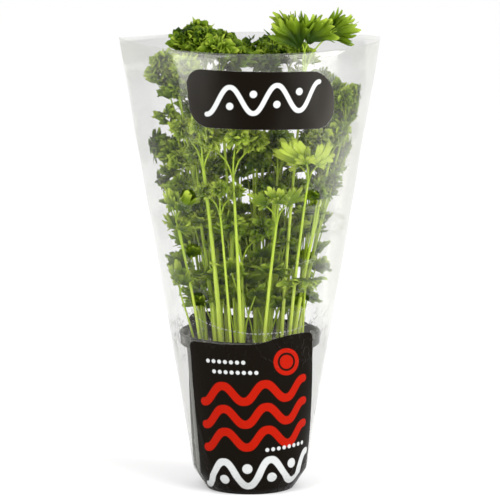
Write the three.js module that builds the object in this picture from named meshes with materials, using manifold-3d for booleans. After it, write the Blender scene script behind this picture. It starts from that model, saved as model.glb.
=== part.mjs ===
// Curly parsley growing in a black nursery pot, inside a clear film sleeve that flares towards its open top.
// Millimetres, +Z up. The origin is the centre of the sleeve's underside, and -Y is the front.
import * as THREE from "three";
import { mergeVertices } from "three/addons/utils/BufferGeometryUtils.js";
import Module from "manifold-3d";

const GAP = 0.3; // clearance between neighbouring pieces

// Pot: a tapered nursery pot with a chamfered foot and a stepped collar.
const POT = {
  stand: 0.8, // the foot's height above the table, on the film
  footRadius: 30.8,
  shoulderRadius: 37.8,
  shoulderHeight: 13,
  throatRadius: 45.5,
  throatHeight: 104,
  collarRadius: 50,
  height: 113.5,
  wall: 1.1,
  recess: 3, // how far the floor stands above the foot ring
  ringWidth: 5,
  segments: 32,
};
const DRAINS = { count: 6, radius: 3, circle: 17, sides: 6 };

// Soil: fills the pot up to the bottom of its collar, with a lumpy top.
const SOIL = { height: 102, lump: 1.2, rings: 3, segments: 20 };

// Sleeve: sections from the folded bottom to the open top. a is half the width between the two side seams and
// b half the depth from front to back. left and right are the exponents that sharpen each side's corner.
const SLEEVE = {
  film: 0.5,
  sections: [
    { z: 0, a: 31.6, b: 31.6, left: 0.5, right: 0.5 },
    { z: 14, a: 40.9, b: 39.2, left: 0.5, right: 0.5 },
    { z: 103, a: 55.7, b: 51.4, left: 0.5, right: 0.5 },
    { z: 160, a: 65.2, b: 56.2, left: 0.56, right: 0.51 },
    { z: 240, a: 78.6, b: 62, left: 0.7, right: 0.53 },
    { z: 324.5, a: 92.7, b: 68, left: 0.85, right: 0.55 },
  ],
  dip: 4, // how far the top edge dips between the seams
  around: 32, // points around a section
};
const VENTS = { radius: 6, sides: 8, heights: [143, 178, 217], reach: 0.58 };

// Leaf stalks: four-sided, thinner towards the fork, with knots at heights that all of them share.
const STALK = { step: 24, rootDepth: 12, sides: 4, taper: 0.6, bow: 1.35 };
const PARTING = { spare: 0.9, rounds: 40, potInset: 4.5, fill: 0.87 };

// Each stalk forks into three branches, with a leaflet on each: its turn from the frond's own, its share of
// the frond's reach and blade length, and how steeply its branch rises.
const LEAFLETS = [
  { turn: 0, reach: 1, size: 1, rise: 66 },
  { turn: 104, reach: 0.92, size: 0.92, rise: 54 },
  { turn: -104, reach: 0.92, size: 0.92, rise: 54 },
];
const BRANCH = { width: 1.2, steepen: 12, sink: 1.5, offset: 1.1 };

// A leaflet's blade: one thin arched fan of three lobes, each with a pair of teeth. The cuts are shares of
// the blade's length, measured from its base.
const BLADE = { thickness: 0.7, tilt: 22, lobeAngle: 42, toothAngle: 11, pleat: 0.06 };
const CUT = { sideLobe: 0.92, shallow: 0.76, deep: 0.45 };

// How leaves bend along the film: from which share of the section on, and how far off it they stay.
const CROWDING = { from: 0.85, inset: 2.4 };

// The fronds that the front view shows one by one: fork (x, y, z), root (x, y), reach of the branches, length
// of the blades, turn about +Z of the terminal leaflet, girth of the stalk at its root, and how far the
// blades cup upwards, as a share of their length.
const PLACED = [
  { fork: [38, -16, 300], root: [22, -10], reach: 27, blade: 19, turn: -70, girth: 1.5, cup: 0.1 },
  { fork: [-33, -38, 238], root: [-20, -20], reach: 26, blade: 18, turn: -110, girth: 2.1, cup: 0.2 },
  { fork: [-12, -44, 232], root: [-6, -27], reach: 24, blade: 18, turn: -80, girth: 1.6, cup: 0.2 },
  { fork: [-21, -40, 204], root: [-13, -29], reach: 16, blade: 12, turn: -95, girth: 1.2, cup: 0.2 },
  { fork: [41, -38, 228], root: [27, -22], reach: 13, blade: 19, turn: -100, girth: 1.4, cup: 0.2 },
  { fork: [19, -40, 199], root: [9, -28], reach: 14, blade: 14, turn: -75, girth: 1.5, cup: 0.1 },
  { fork: [39, -26, 148], root: [37, -6], reach: 8, blade: 18, turn: -60, girth: 1.1, cup: -0.25 },
  { fork: [-50, -14, 143], root: [-37, -6], reach: 8, blade: 15, turn: 200, girth: 1.1, cup: 0.1 },
  { fork: [-52, -22, 196], root: [-34, -15], reach: 11, blade: 18, turn: 190, girth: 1.3, cup: 0.2 },
  { fork: [-47, 2, 219], root: [-30, 4], reach: 17, blade: 19, turn: 160, girth: 1.4, cup: 0.2 },
  { fork: [-50, -6, 283], root: [-24, -4], reach: 20, blade: 21, turn: 185, girth: 1.7, cup: 0.2 },
  { fork: [-32, 20, 303], root: [-16, 12], reach: 20, blade: 22, turn: 120, girth: 1.7, cup: 0.2 },
  { fork: [68, -4, 262], root: [33, 5], reach: 20, blade: 19, turn: 10, girth: 1.4, cup: 0.2 },
  { fork: [56, -14, 236], root: [30, -9], reach: 15, blade: 20, turn: -20, girth: 1.6, cup: 0.2 },
  { fork: [28, 16, 300], root: [14, 9], reach: 15, blade: 20, turn: 60, girth: 1.6, cup: 0.2 },
  { fork: [55, 16, 214], root: [34, 15], reach: 16, blade: 19, turn: 30, girth: 1.3, cup: 0.2 },
];

// The fronds behind and between those: turned by the golden angle, with seeded draws for what varies.
const FILL = {
  seed: 43,
  count: 18,
  heights: [292, 168, 268, 226, 306, 190, 250],
  heightSpread: 14,
  inset: 16,
  backShift: 0.3, // how far the filling is moved from the middle to the back, as a share of the depth
  depth: 0.66,
  rootShare: 0.52,
  rootSpread: 5,
  turnSpread: 70,
  reach: [13, 22],
  blade: [17, 22],
  girth: [1.2, 1.7],
  cup: [0, 0.3],
};
const GOLDEN_ANGLE = 137.508;

const LOOKS = {
  pot: { color: 0x1c1b1a, roughness: 0.45, metalness: 0 },
  soil: { color: 0x2a211a, roughness: 1, metalness: 0 },
  sleeve: { color: 0xf2f3f0, roughness: 0.15, metalness: 0, transparent: true, opacity: 0.3 },
  frond: { color: 0x4f7a1e, roughness: 0.55, metalness: 0 },
};

const vector = (x, y, z) => new THREE.Vector3(x, y, z);
const mix = (low, high, share) => low + (high - low) * share;
const radians = (degrees) => (degrees * Math.PI) / 180;
const range = (count) => Array.from({ length: count }, (_, i) => i);

// Numbers from 0 to 1, the same ones for the same seed.
function draws(seed) {
  let state = seed >>> 0;
  return () => {
    state = (Math.imul(state, 1664525) + 1013904223) >>> 0;
    return state / 4294967296;
  };
}

const wasm = await Module();
wasm.setup();

// A closed three.js geometry as a manifold-3d solid.
function solidOf(geometry) {
  const bare = geometry.clone();
  bare.deleteAttribute("normal");
  bare.deleteAttribute("uv");
  const merged = mergeVertices(bare, 1e-4);
  return new wasm.Manifold(
    new wasm.Mesh({
      numProp: 3,
      vertProperties: merged.attributes.position.array,
      triVerts: new Uint32Array(merged.index.array),
    }),
  );
}

// A manifold-3d solid as a three.js geometry.
function geometryOf(solid) {
  const { numProp, numVert, vertProperties, triVerts } = solid.getMesh();
  const positions = range(numVert).flatMap((i) => [...vertProperties.subarray(i * numProp, i * numProp + 3)]);
  const geometry = new THREE.BufferGeometry();
  geometry.setAttribute("position", new THREE.Float32BufferAttribute(positions, 3));
  geometry.setIndex(new THREE.BufferAttribute(triVerts, 1));
  geometry.computeVertexNormals();
  return geometry;
}

function indexedSolid(points, triangles) {
  const geometry = new THREE.BufferGeometry();
  const positions = points.flatMap((point) => point.toArray());
  geometry.setAttribute("position", new THREE.Float32BufferAttribute(positions, 3));
  geometry.setIndex(triangles.flat());
  return solidOf(geometry);
}

// A closed skin over rings of equally many points, each turning left about the way up, and two end points.
function skinSolid(rings, bottom, top) {
  const sides = rings[0].length;
  const points = [...rings.flat(), bottom, top];
  const [first, last] = [points.length - 2, points.length - 1];
  const rim = (rings.length - 1) * sides;
  const triangles = range(sides).flatMap((i) => {
    const j = (i + 1) % sides;
    const walls = range(rings.length - 1).flatMap((level) => {
      const [low, high] = [level * sides, (level + 1) * sides];
      return [
        [low + i, low + j, high + j],
        [low + i, high + j, high + i],
      ];
    });
    return [...walls, [first, j, i], [last, rim + i, rim + j]];
  });
  return indexedSolid(points, triangles);
}

// A tube through points, with a radius for each. side is a direction that the path never runs along.
function tubeSolid(points, radii, sides, side) {
  const rings = points.map((point, i) => {
    const along = points[Math.min(i + 1, points.length - 1)].clone().sub(points[Math.max(i - 1, 0)]).normalize();
    const across = side.clone().addScaledVector(along, -side.dot(along)).normalize();
    const out = along.clone().cross(across);
    return range(sides).map((k) => {
      const angle = (k / sides) * 2 * Math.PI;
      return point
        .clone()
        .addScaledVector(across, radii[i] * Math.cos(angle))
        .addScaledVector(out, radii[i] * Math.sin(angle));
    });
  });
  return skinSolid(rings, points[0], points[points.length - 1]);
}

// Pot
function potOutside() {
  const { stand, footRadius, throatHeight, collarRadius, height, wall } = POT;
  const ringInside = footRadius - POT.ringWidth;
  return [
    [0, stand + POT.recess],
    [ringInside - 1, stand + POT.recess],
    [ringInside, stand],
    [footRadius, stand],
    [POT.shoulderRadius, POT.shoulderHeight],
    [POT.throatRadius, throatHeight],
    [collarRadius - wall / 2, throatHeight + wall / 2],
    [collarRadius, height - wall],
    [collarRadius - wall / 2, height],
  ];
}

// The pot's inside, or that of a filling which stays clear of it by an inset.
function potInside(inset) {
  const { throatHeight, collarRadius, height } = POT;
  const wall = POT.wall + inset;
  return [
    [collarRadius - wall, height - wall],
    [collarRadius - 1.5 * wall, throatHeight + 1.5 * wall],
    [POT.throatRadius - wall, throatHeight + wall],
    [POT.shoulderRadius - wall, POT.shoulderHeight + wall / 4],
    [POT.footRadius - wall, POT.stand + POT.recess + wall],
    [0, POT.stand + POT.recess + wall],
  ];
}

function potSolid() {
  const profile = [...potOutside(), ...potInside(0)].map(([radius, z]) => new THREE.Vector2(radius, z));
  const pot = solidOf(new THREE.LatheGeometry(profile, POT.segments).rotateX(Math.PI / 2));
  const drill = new THREE.CylinderGeometry(DRAINS.radius, DRAINS.radius, 4 * POT.recess, DRAINS.sides);
  drill.rotateX(Math.PI / 2);
  const drills = range(DRAINS.count).map((i) => {
    const angle = (i / DRAINS.count) * 2 * Math.PI;
    return solidOf(drill).translate([DRAINS.circle * Math.cos(angle), DRAINS.circle * Math.sin(angle), POT.recess]);
  });
  return pot.subtract(wasm.Manifold.union(drills));
}

// Soil
function soilTop(x, y) {
  const waves = Math.sin(x * 0.31 + 1) * Math.cos(y * 0.27) + 0.6 * Math.sin(x * 0.63 - y * 0.55);
  return SOIL.height + SOIL.lump * waves;
}

function soilSolid() {
  const [shoulder, floor] = potInside(GAP).slice(3, 5);
  const edge = SOIL.height - 1.6 * SOIL.lump;
  const share = (edge - shoulder[1]) / (POT.throatHeight - shoulder[1]);
  const rim = mix(shoulder[0], POT.throatRadius - POT.wall - GAP, share);
  const ring = (radius, height) =>
    range(SOIL.segments).map((i) => {
      const angle = (i / SOIL.segments) * 2 * Math.PI;
      const [x, y] = [radius * Math.cos(angle), radius * Math.sin(angle)];
      return vector(x, y, height ?? soilTop(x, y));
    });
  const mounds = range(SOIL.rings - 1).map((i) => ring(rim * (1 - (i + 0.5) / SOIL.rings)));
  const rings = [ring(...floor), ring(...shoulder), ring(rim, edge), ...mounds];
  return skinSolid(rings, vector(0, 0, floor[1]), vector(0, 0, soilTop(0, 0)));
}

// Sleeve

// The sleeve's section at a height. Above the top edge it goes on flaring.
function sectionAt(z) {
  const { sections } = SLEEVE;
  const above = sections.findIndex((section) => section.z > z);
  const next = above === -1 ? sections.length - 1 : Math.max(above, 1);
  const [lower, upper] = [sections[next - 1], sections[next]];
  const share = (z - lower.z) / (upper.z - lower.z);
  const at = (key) => mix(lower[key], upper[key], share);
  return { a: at("a"), b: at("b"), left: at("left"), right: at("right") };
}

function sleeveRing(z, inset, dip) {
  const { a, b, left, right } = sectionAt(z);
  return range(SLEEVE.around).map((i) => {
    const angle = (i / SLEEVE.around) * 2 * Math.PI;
    const [along, across] = [Math.cos(angle), Math.sin(angle)];
    const bulge = Math.max(0, 1 - along ** 2) ** (along < 0 ? left : right);
    return vector((a - inset) * along, (b - inset) * bulge * Math.sign(across), z - dip * Math.abs(across));
  });
}

function sleeveSkin(inset, bottom, above) {
  const heights = SLEEVE.sections.map((section) => section.z);
  const top = heights[heights.length - 1] + above;
  const rings = heights.slice(0, -1).map((z) => sleeveRing(Math.max(z, bottom), inset, 0));
  rings.push(sleeveRing(top, inset, SLEEVE.dip));
  return skinSolid(rings, vector(0, 0, bottom), vector(0, 0, top - SLEEVE.dip));
}

function ventDrills() {
  const drill = new THREE.CylinderGeometry(VENTS.radius, VENTS.radius, 400, VENTS.sides);
  return VENTS.heights.flatMap((z) =>
    [-1, 1].map((side) => solidOf(drill).translate([side * sectionAt(z).a * VENTS.reach, 0, z])),
  );
}

function sleeveSolid() {
  const film = sleeveSkin(0, 0, 0).subtract(sleeveSkin(SLEEVE.film, SLEEVE.film, 2));
  return film.subtract(wasm.Manifold.union(ventDrills()));
}

// Fronds

const movedIn = (point, share) => vector(point.x * share, point.y * share, point.z);

// How far out a point lies: 0 on the middle axis and 1 at the film, less the inset.
function fillAt(point) {
  const { a, b, left, right } = sectionAt(point.z);
  const sharp = point.x < 0 ? left : right;
  const across = (Math.abs(point.y) / (b - CROWDING.inset)) ** (1 / sharp);
  return ((point.x / (a - CROWDING.inset)) ** 2 + across) ** Math.max(0.5, sharp);
}

// Crowds a point of a leaf inwards near the film, so that the leaf bends along it.
function insideSleeve(point) {
  const fill = fillAt(point);
  const room = 1 - CROWDING.from;
  if (fill <= CROWDING.from) return point;
  return movedIn(point, (1 - room * Math.exp((CROWDING.from - fill) / room)) / fill);
}

function fillingFronds() {
  const draw = draws(FILL.seed);
  const drawn = ([low, high]) => mix(low, high, draw());
  return range(FILL.count).map((i) => {
    const z = FILL.heights[i % FILL.heights.length] + FILL.heightSpread * (draw() - 0.5);
    const angle = radians(GOLDEN_ANGLE * i);
    const share = Math.sqrt((i + 0.5) / FILL.count);
    const { a, b } = sectionAt(z);
    const x = (a - FILL.inset) * share * Math.cos(angle);
    const y = (b - FILL.inset) * (FILL.backShift + FILL.depth * share * Math.sin(angle));
    return {
      fork: [x, y, z],
      root: [x, y].map((way) => way * FILL.rootShare + FILL.rootSpread * (draw() - 0.5)),
      reach: drawn(FILL.reach),
      blade: drawn(FILL.blade),
      turn: GOLDEN_ANGLE * i + FILL.turnSpread * (draw() - 0.5),
      girth: drawn(FILL.girth),
      cup: drawn(FILL.cup),
    };
  });
}

// A stalk's knots, from its root to its fork: straight up at first, then leaning out.
function stalkKnots({ root, fork }) {
  const low = SOIL.height - STALK.rootDepth;
  const steps = Math.ceil((fork[2] - low) / STALK.step - 0.3);
  return range(steps + 1).map((i) => {
    const z = i === steps ? fork[2] : low + i * STALK.step;
    const share = ((z - low) / (fork[2] - low)) ** STALK.bow;
    return vector(mix(root[0], fork[0], share), mix(root[1], fork[1], share), z);
  });
}

const stalkRadius = (frond, knot) => frond.girth * mix(1, STALK.taper, knot / (frond.knots.length - 1));

const pointAtHeight = (lower, upper, z) => lower.clone().lerp(upper, (z - lower.z) / (upper.z - lower.z));

// Moves the two ends of a stretch of stalk, so that its point at a height moves by a push.
function nudge(lower, upper, z, push) {
  const share = (z - lower.z) / (upper.z - lower.z);
  lower.addScaledVector(push, 1 - share);
  upper.addScaledVector(push, share);
}

// Pushes two stretches of stalk apart where they pass too close at the same height.
function partStretches(one, i, other, j) {
  const [a, b, c, d] = [one.knots[i], one.knots[i + 1], other.knots[j], other.knots[j + 1]];
  const [low, high] = [Math.max(a.z, c.z), Math.min(b.z, d.z)];
  if (high <= low) return;
  const apartAt = (z) => pointAtHeight(c, d, z).sub(pointAtHeight(a, b, z));
  const start = apartAt(low);
  const run = apartAt(high).sub(start);
  const share = Math.min(1, Math.max(0, -start.dot(run) / Math.max(run.lengthSq(), 1e-9)));
  const apart = start.addScaledVector(run, share);
  const wanted = stalkRadius(one, i) + stalkRadius(other, j) + PARTING.spare;
  const distance = Math.max(apart.length(), 1e-3);
  if (distance >= wanted) return;
  const push = apart.multiplyScalar((wanted - distance) / (2 * distance));
  const z = mix(low, high, share);
  nudge(c, d, z, push);
  nudge(a, b, z, push.clone().negate());
}

// Keeps a knot within the pot's mouth, or within the film above it.
function holdKnot(knot) {
  const inPot = (POT.throatRadius - PARTING.potInset) / Math.hypot(knot.x, knot.y);
  const inFilm = PARTING.fill / fillAt(knot);
  knot.copy(movedIn(knot, Math.min(1, knot.z > POT.height ? inFilm : inPot)));
}

function partStalks(fronds) {
  for (let round = 0; round < PARTING.rounds; round++) {
    fronds.forEach((one, index) =>
      fronds.slice(index + 1).forEach((other) => {
        for (let i = 0; i < one.knots.length - 1; i++)
          for (let j = Math.max(0, i - 1); j < Math.min(i + 2, other.knots.length - 1); j++)
            partStretches(one, i, other, j);
      }),
    );
    fronds.forEach((frond) => frond.knots.forEach(holdKnot));
  }
}

// One leaflet's branch and blade: the branch's path, and the directions along, across and above the blade.
function leafletOf(frond, { turn, reach, size, rise }) {
  const heading = radians(frond.turn + turn);
  const out = vector(Math.cos(heading), Math.sin(heading), 0);
  const up = vector(0, 0, 1);
  const slanted = (degrees) =>
    out.clone().multiplyScalar(Math.cos(radians(degrees))).addScaledVector(up, Math.sin(radians(degrees)));
  const fork = frond.knots[frond.knots.length - 1];
  const length = frond.reach * reach;
  const start = fork.clone().addScaledVector(up, -BRANCH.sink).addScaledVector(out, BRANCH.offset);
  const middle = fork.clone().addScaledVector(slanted(rise + BRANCH.steepen), length / 2);
  const tip = fork.clone().addScaledVector(slanted(rise), length);
  return {
    path: [start, insideSleeve(middle), insideSleeve(tip)],
    tip,
    along: slanted(BLADE.tilt),
    above: slanted(BLADE.tilt + 90),
    across: up.clone().cross(out),
    length: frond.blade * size,
    cup: frond.cup,
  };
}

// The blade's outline as angles from its rib and reaches from its base.
function bladeOutline() {
  const { lobeAngle, toothAngle } = BLADE;
  const lobe = (middle, top) => [
    [middle - toothAngle, top],
    [middle, top * CUT.shallow],
    [middle + toothAngle, top],
  ];
  return [
    ...lobe(-lobeAngle, CUT.sideLobe),
    [-lobeAngle / 2, CUT.deep],
    ...lobe(0, 1),
    [lobeAngle / 2, CUT.deep],
    ...lobe(lobeAngle, CUT.sideLobe),
  ];
}

// The points of the blade's outline on its middle layer, pleated at every cut and bent clear of the film.
function bladePoints({ tip, along, across, above, length, cup }, grow) {
  return bladeOutline().map(([degrees, share], i) => {
    const reach = length * share + 2 * grow;
    const angle = radians(degrees) * (1 + (2 * grow) / length);
    const lift = length * (cup * share ** 2 + BLADE.pleat * (i % 2 === 0 ? 1 : -1));
    return insideSleeve(
      tip
        .clone()
        .addScaledVector(along, reach * Math.cos(angle))
        .addScaledVector(across, reach * Math.sin(angle))
        .addScaledVector(above, lift),
    );
  });
}

const sumOf = (vectors) => vectors.reduce((sum, one) => sum.add(one), vector(0, 0, 0)).normalize();

// The blade's normals: one for its base, and one for each point of its outline.
function bladeNormals(leaflet) {
  const outline = bladePoints(leaflet, 0);
  const base = leaflet.path[leaflet.path.length - 1];
  const facets = range(outline.length - 1).map((i) =>
    outline[i].clone().sub(base).cross(outline[i + 1].clone().sub(base)).normalize(),
  );
  return { base: sumOf(facets), outline: outline.map((_, i) => sumOf(facets.slice(Math.max(i - 1, 0), i + 1))) };
}

// The normal of a branch at a point of its path: across the path, in the upright plane that it bends in.
function branchNormal(leaflet, i) {
  const { path, across } = leaflet;
  if (i === path.length - 1) return bladeNormals(leaflet).base;
  return path[i + 1].clone().sub(path[Math.max(i - 1, 0)]).cross(across).normalize();
}

// A closed plate: a loop of points on its middle layer, thickened along a normal at each, with the triangles of
// one face given as places in the loop.
function plateSolid(loop, faces) {
  const count = loop.length;
  const layer = (side) => loop.map(({ point, normal, half }) => point.clone().addScaledVector(normal, side * half));
  const rim = range(count).flatMap((i) => {
    const j = (i + 1) % count;
    return [
      [i, j, count + j],
      [i, count + j, count + i],
    ];
  });
  const top = faces.map((face) => face.map((i) => i + count));
  const bottom = faces.map(([i, j, k]) => [i, k, j]);
  return indexedSolid([...layer(-1), ...layer(1)], [...rim, ...top, ...bottom]);
}

// The two edges of a branch as a loop's start and end: out along the right one, and back along the left one.
function branchEdges(leaflet, grow) {
  const half = BRANCH.width / 2 + grow;
  const edge = (side) =>
    leaflet.path.map((point, i) => ({
      point: point.clone().addScaledVector(leaflet.across, side * half),
      normal: branchNormal(leaflet, i),
      half,
    }));
  return { right: edge(-1), left: edge(1).reverse() };
}

// The faces of a strip whose right edge starts the loop, and whose left edge ends it.
function branchFaces(steps, count) {
  return range(steps - 1).flatMap((i) => {
    const [right, left] = [i, count - 1 - i];
    return [
      [right, right + 1, left - 1],
      [right, left - 1, left],
    ];
  });
}

function branchSolid(leaflet, grow) {
  const { right, left } = branchEdges(leaflet, grow);
  return plateSolid([...right, ...left], branchFaces(right.length, 2 * right.length));
}

// A branch with its blade: half of the blade fans out from the branch's right edge, and half from its left.
function leafletSolid(leaflet, grow) {
  const { right, left } = branchEdges(leaflet, grow);
  const normals = bladeNormals(leaflet).outline;
  const half = BLADE.thickness / 2 + 4 * grow;
  const outline = bladePoints(leaflet, grow).map((point, i) => ({ point, normal: normals[i], half }));
  const loop = [...right, ...outline, ...left];
  const first = right.length;
  const middle = first + (outline.length - 1) / 2;
  const last = first + outline.length;
  const fan = range(outline.length - 1).map((i) => {
    const hub = first + i < middle ? first - 1 : last;
    return [hub, first + i, first + i + 1];
  });
  const faces = [...branchFaces(right.length, loop.length), ...fan, [first - 1, middle, last]];
  return plateSolid(loop, faces);
}

function stalkSolid(frond, grow) {
  const radii = frond.knots.map((_, knot) => stalkRadius(frond, knot) + grow);
  return tubeSolid(frond.knots, radii, STALK.sides, vector(1, 0, 0));
}

function plantedFronds() {
  const fronds = [...PLACED, ...fillingFronds()].map((frond) => ({ ...frond, knots: stalkKnots(frond) }));
  partStalks(fronds);
  return fronds.map((frond) => ({ ...frond, leaflets: LEAFLETS.map((leaflet) => leafletOf(frond, leaflet)) }));
}

const byVolume = (one, other) => other.volume() - one.volume();

// Every frond as one body. Stalks stay whole, branches give way to stalks, and blades to all of them.
function frondSolids(fronds) {
  const { union } = wasm.Manifold;
  const joined = (frond, make, grow) => union(frond.leaflets.map((leaflet) => make(leaflet, grow)));
  const stalks = fronds.map((frond) => stalkSolid(frond, GAP));
  const branches = fronds.map((frond) => joined(frond, branchSolid, GAP));
  const leaves = fronds.map((frond) => joined(frond, leafletSolid, GAP));
  return fronds.map((frond, i) => {
    const otherStalks = stalks.filter((_, j) => j !== i);
    const overBlades = union([...leaves.slice(0, i), ...branches.slice(i + 1)]);
    const bladeCutter = overBlades.subtract(joined(frond, branchSolid, 0));
    const cutter = union([...otherStalks, ...branches.slice(0, i), bladeCutter]);
    const foliage = joined(frond, leafletSolid, 0).subtract(cutter);
    return union([stalkSolid(frond, 0), foliage]).decompose().sort(byVolume)[0];
  });
}

function meshOf(name, solid, look) {
  const mesh = new THREE.Mesh(geometryOf(solid), new THREE.MeshStandardMaterial(look));
  mesh.name = name;
  return mesh;
}

function pottedParsley() {
  const fronds = plantedFronds();
  const holes = wasm.Manifold.union(fronds.map((frond) => stalkSolid(frond, GAP)));
  const group = new THREE.Group();
  group.add(meshOf("pot", potSolid(), LOOKS.pot));
  group.add(meshOf("soil", soilSolid().subtract(holes), LOOKS.soil));
  group.add(meshOf("sleeve", sleeveSolid(), LOOKS.sleeve));
  frondSolids(fronds).forEach((solid, i) => {
    group.add(meshOf(`frond_${String(i + 1).padStart(2, "0")}`, solid, LOOKS.frond));
  });
  return group;
}

export default pottedParsley();
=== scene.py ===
"""Potted parsley in a printed film sleeve: the finished look of the part, built over its CAD frame."""

from math import ceil, cos, exp, hypot, pi, radians, sin, sqrt

import bmesh
import bpy
from mathutils import Matrix, Vector, noise


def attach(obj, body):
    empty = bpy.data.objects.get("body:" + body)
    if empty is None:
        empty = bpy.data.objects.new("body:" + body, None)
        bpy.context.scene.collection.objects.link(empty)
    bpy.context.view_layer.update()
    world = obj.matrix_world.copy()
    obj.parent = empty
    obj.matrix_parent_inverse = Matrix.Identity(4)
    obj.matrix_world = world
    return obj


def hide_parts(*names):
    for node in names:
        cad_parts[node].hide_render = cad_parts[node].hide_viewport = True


bl_info = {
    "name": "Potted parsley",
    "version": (1, 0, 0),
    "blender": (4, 5, 0),
    "location": "View3D > Sidebar > Parsley",
    "description": "Builds a potted curly parsley in its film sleeve",
    "category": "Object",
}

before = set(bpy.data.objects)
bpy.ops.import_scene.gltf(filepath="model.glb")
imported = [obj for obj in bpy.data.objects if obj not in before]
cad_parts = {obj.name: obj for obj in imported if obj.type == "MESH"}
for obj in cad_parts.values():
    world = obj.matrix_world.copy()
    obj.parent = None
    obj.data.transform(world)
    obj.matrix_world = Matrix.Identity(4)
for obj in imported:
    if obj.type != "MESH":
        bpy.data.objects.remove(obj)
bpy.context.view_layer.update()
MM = 0.001
# Vertices closer than this, in millimetres, are welded into one.
WELD = 1e-4
UP = Vector((0, 0, 1))
BACK = Vector((0, 1, 0))

# Sizes in millimetres, as in the part's source.
POT = {
    "stand": 0.8, "foot_radius": 30.8, "shoulder_radius": 37.8, "shoulder_height": 13, "throat_radius": 45.5,
    "throat_height": 104, "collar_radius": 50, "height": 113.5, "wall": 1.1, "recess": 3, "ring_width": 5,
}
DRAINS = {"count": 6, "radius": 3, "circle": 17}
SOIL = {
    "height": 102, "lump": 1.2, "rim_radius": 43.6, "brink": 3, "gap": 0.4, "inset": 1, "top_share": 0.8,
}
SECTIONS = [
    {"z": 0, "a": 31.6, "b": 31.6, "left": 0.5, "right": 0.5},
    {"z": 14, "a": 40.9, "b": 39.2, "left": 0.5, "right": 0.5},
    {"z": 103, "a": 55.7, "b": 51.4, "left": 0.5, "right": 0.5},
    {"z": 160, "a": 65.2, "b": 56.2, "left": 0.56, "right": 0.51},
    {"z": 240, "a": 78.6, "b": 62, "left": 0.7, "right": 0.53},
    {"z": 324.5, "a": 92.7, "b": 68, "left": 0.85, "right": 0.55},
]
SLEEVE = {
    "dip": 4, "dip_depth": 60, "film": 0.16, "around": 150, "levels": 84, "base_share": 0.06,
    "base_lift": 0.05, "crowding": 0.96,
}
VENTS = {"radius": 6, "heights": [143, 178, 217], "reach": 0.58}
# A finished stalk is a little slimmer than its stand-in in the frame.
STALK = {"step": 24, "shortest": 0.3, "root_depth": 12, "taper": 0.6, "bow": 1.35, "slim": 0.84}
PARTING = {"spare": 0.9, "rounds": 40, "pot_inset": 4.5, "fill": 0.87}
LEAFLETS = [
    {"turn": 0, "reach": 1, "size": 1, "rise": 66},
    {"turn": 104, "reach": 0.92, "size": 0.92, "rise": 54},
    {"turn": -104, "reach": 0.92, "size": 0.92, "rise": 54},
]
# A pair of small leaflets lower on a stalk. Filling stalks carry pairs at these shares of their height.
LOW_PAIR = [
    {"turn": 80, "reach": 0.6, "size": 0.8, "rise": 38},
    {"turn": -80, "reach": 0.6, "size": 0.8, "rise": 38},
]
LOW_SHARES = (0.24, 0.42, 0.6, 0.8)
# Each pair is turned by a quarter against the last. Its branches leave the stalk lower, by a share of its
# height, and keep close to it at first.
LOW_BRANCH = {"quarter": 90, "below": 0.4, "lowest": 0.04, "bow": 0.2}
LOW_PAIR_FLOOR = 124
# Below this height the leaves of a pair are plain and broad, and above it they are curled.
PLAIN_BELOW = 200
# How light a pair is: a share of its frond's tone, and more by its kind of leaf.
LOW_TONE = {"share": 0.6, "low": 0.2, "curly": 0.04}
# The highest that leaves reach: two domes over the heads at the left and the right, and the lone sprig
# over both.
DOMES = [{"x": -34, "top": 333, "fall": 0.018}, {"x": 26, "top": 318, "fall": 0.011}]
SPRIG_TOP = 347
CEILING = {"room": 8, "bumps": 7, "pitch": 0.09}
SPRIG_LEAFLETS = [
    {"turn": 56, "reach": 0.86, "size": 1.3, "rise": 82, "tilt": 58},
    {"turn": 86, "reach": 1.12, "size": 1.44, "rise": 57, "tilt": 32},
    {"turn": -104, "reach": 0.92, "size": 1.46, "rise": 84, "tilt": 60},
]
# How much steeper than the frame's blades each kind of leaf stands, and how far it faces the front.
LIFTS = {"curly": 12, "crisp": 0, "broad": 30, "flat": -14, "low": 16}
FACING = {"curly": 0, "crisp": 0.76, "broad": 0.66, "flat": 0.22, "low": 0.4}
BRANCH = {"steepen": 12, "sink": 1.5, "aside": 0.3, "girth": 0.7, "tip_radius": 0.45}
BLADE_TILT = 22
CROWDING = {"from": 0.85, "inset": 2.4}


def frond(fork, root, reach, blade, turn, girth, kind, tone, lower=()):
    """One frond's planting: sizes in millimetres, turn in degrees, kind of leaf, how light it is and the
    shares of its height where low pairs stand."""
    return {
        "fork": fork, "root": root, "reach": reach, "blade": blade, "turn": turn, "girth": girth,
        "kind": kind, "tone": tone, "lower": lower,
    }


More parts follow.
